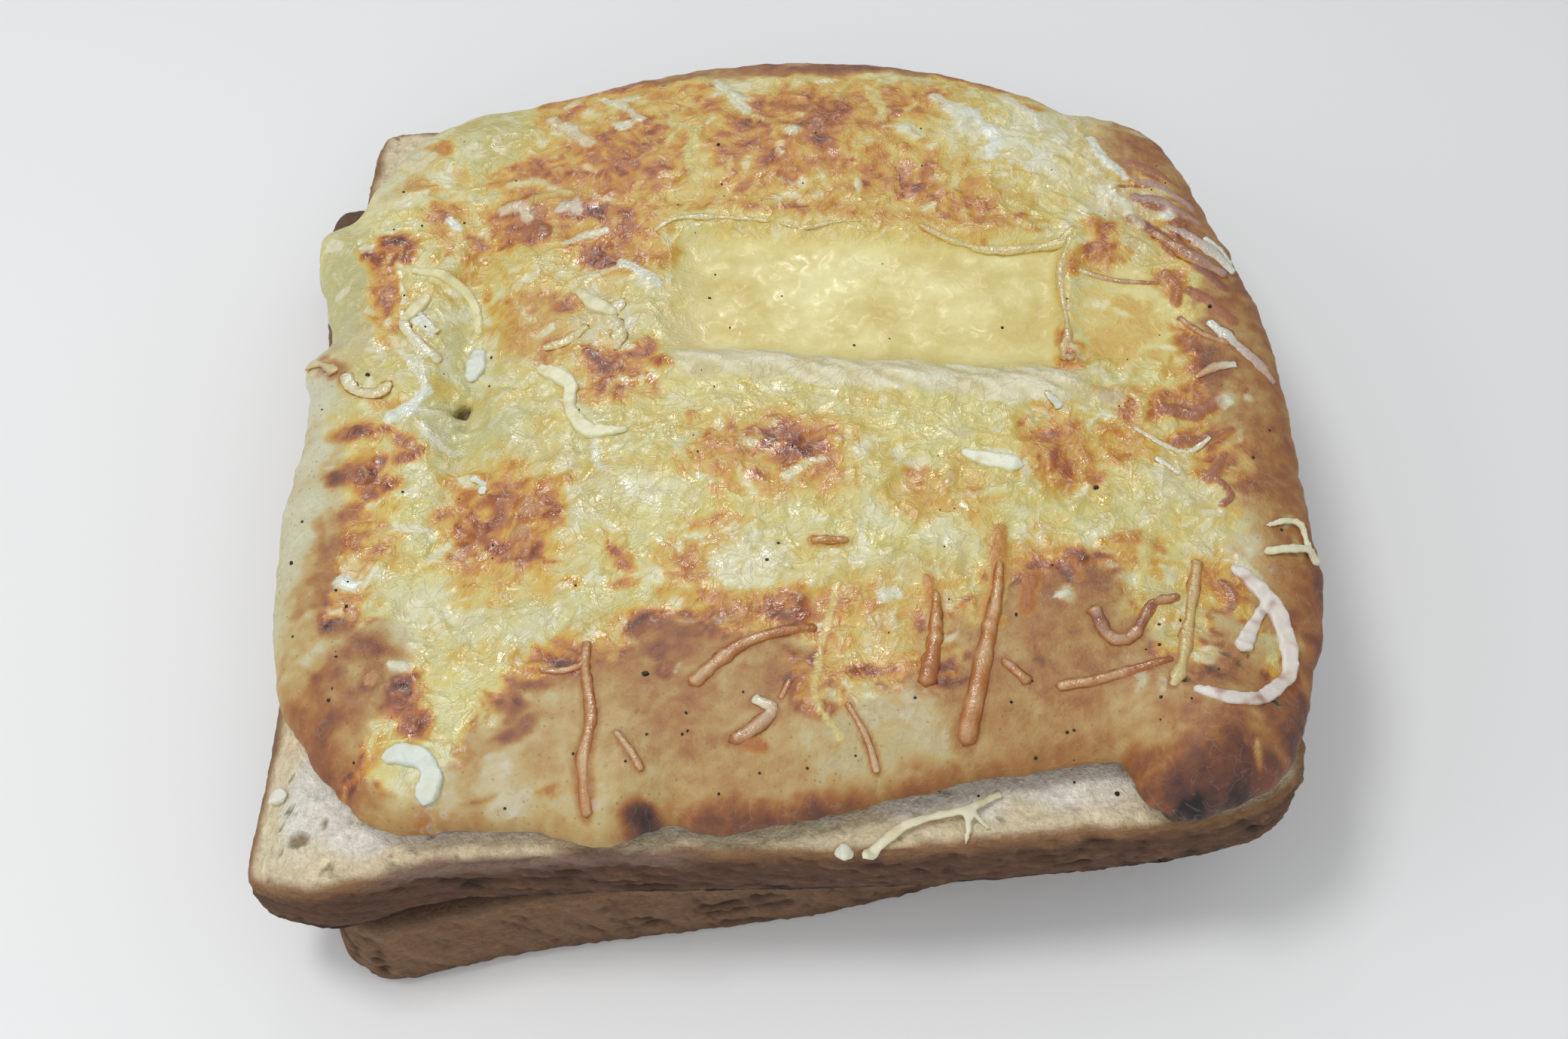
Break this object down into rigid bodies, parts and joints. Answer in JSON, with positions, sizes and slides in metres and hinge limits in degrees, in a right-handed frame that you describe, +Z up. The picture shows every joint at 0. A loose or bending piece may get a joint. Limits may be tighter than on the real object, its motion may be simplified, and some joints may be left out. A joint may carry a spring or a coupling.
{
  "type": "croque monsieur",
  "caption": "Baked hot sandwich: stacked slices of toasted sandwich bread under a browned layer of bechamel and melted grated cheese.",
  "frame": {"origin": "the centre of the bounding box in X and Y, on the plane the sandwich rests on", "axes": "+Z up; X runs along the straight front crust; +Y from the front crust to the domed back of the slices"},
  "size_m": [0.1354, 0.1342, 0.0373],
  "materials": {
    "bread_lower": "toasted crust and crumb of sandwich bread, dry and matt",
    "bread_upper": "toasted crust and pale crumb of sandwich bread, dry and matt",
    "baked_topping": "baked bechamel and melted cheese, browned in patches, part glossy",
    "cheese_shred": "grated cheese that kept its shape, pale and slightly glossy"
  },
  "bodies": {
    "root": {"bread_slice_lower": "bread_lower", "bread_slice_upper": "bread_upper", "baked_topping": "baked_topping", "cheese_curl": "cheese_shred", "cheese_arch": "cheese_shred", "cheese_arch_leg": "cheese_shred", "cheese_wedge": "cheese_shred", "cheese_block": "cheese_shred", "cheese_stub": "cheese_shred", "cheese_lump": "cheese_shred", "cheese_loop": "cheese_shred", "cheese_tab": "cheese_shred", "cheese_fork": "cheese_shred", "cheese_bead": "cheese_shred", "cheese_bead_left": "cheese_shred"}
  },
  "joints": []
}
